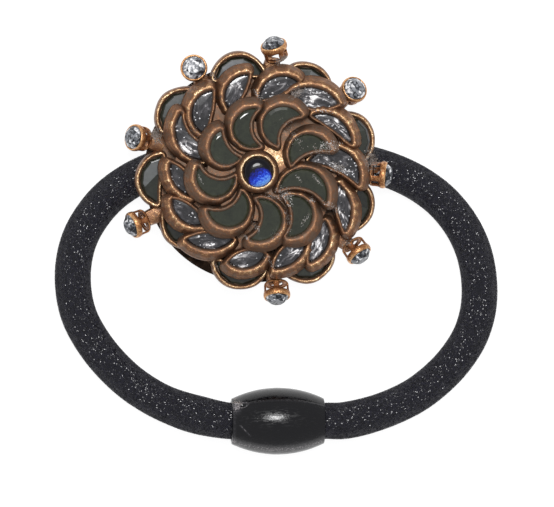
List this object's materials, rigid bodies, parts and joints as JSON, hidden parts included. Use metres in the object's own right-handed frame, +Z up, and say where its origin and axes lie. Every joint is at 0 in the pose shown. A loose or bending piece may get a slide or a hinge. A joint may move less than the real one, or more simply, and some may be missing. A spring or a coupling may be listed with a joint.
{
  "type": "hair tie",
  "caption": "Thick elastic hair tie closed by a glossy barrel bead, with a round layered antique-copper rosette of crescent glass stones around a blue centre stone.",
  "frame": {"origin": "middle of the whole tie's outline seen from above, on the surface that it lies on", "axes": "+X across the loop, +Y from the bead towards the rosette, +Z up through the rosette's face"},
  "size_m": [0.0731, 0.0688, 0.017],
  "materials": {
    "elastic": "woven black elastic with fine silvery thread",
    "bead": "glossy moulded",
    "dark_plate": "dark antiqued",
    "antique_copper": "antique copper plate, dark in the hollows and polished on the edges",
    "dark_glass": "faceted, foil backed",
    "foiled_glass": "clear over crinkled silver foil",
    "green_glass": "flat and polished, dark olive",
    "blue_glass": "domed and polished, foil backed",
    "crystal": "round brilliant cut"
  },
  "bodies": {
    "root": {"elastic_band": "elastic", "barrel_bead": "bead", "back_plate": "dark_plate", "outer_setting": "antique_copper", "middle_setting": "antique_copper", "inner_setting": "antique_copper", "centre_setting": "antique_copper", "centre_stone": "blue_glass", "outer_stone_1": "dark_glass", "outer_stone_2": "dark_glass", "outer_stone_3": "dark_glass", "outer_stone_4": "dark_glass", "outer_stone_5": "dark_glass", "outer_stone_6": "dark_glass", "outer_stone_7": "dark_glass", "outer_stone_8": "dark_glass", "outer_stone_9": "dark_glass", "middle_stone_1": "foiled_glass", "middle_stone_2": "foiled_glass", "middle_stone_3": "foiled_glass", "middle_stone_4": "foiled_glass", "middle_stone_5": "foiled_glass", "middle_stone_6": "foiled_glass", "middle_stone_7": "foiled_glass", "middle_stone_8": "foiled_glass", "middle_stone_9": "foiled_glass", "middle_stone_10": "foiled_glass", "middle_stone_11": "foiled_glass", "middle_stone_12": "foiled_glass", "middle_stone_13": "foiled_glass", "middle_stone_14": "foiled_glass", "inner_stone_1": "green_glass", "inner_stone_2": "green_glass", "inner_stone_3": "green_glass", "inner_stone_4": "green_glass", "inner_stone_5": "green_glass", "inner_stone_6": "green_glass", "inner_stone_7": "green_glass", "inner_stone_8": "green_glass", "inner_stone_9": "green_glass", "rim_crystal_1": "crystal", "rim_crystal_2": "crystal", "rim_crystal_3": "crystal", "rim_crystal_4": "crystal", "rim_crystal_5": "crystal", "rim_crystal_6": "crystal", "rim_crystal_7": "crystal", "rim_crystal_8": "crystal"}
  },
  "joints": []
}
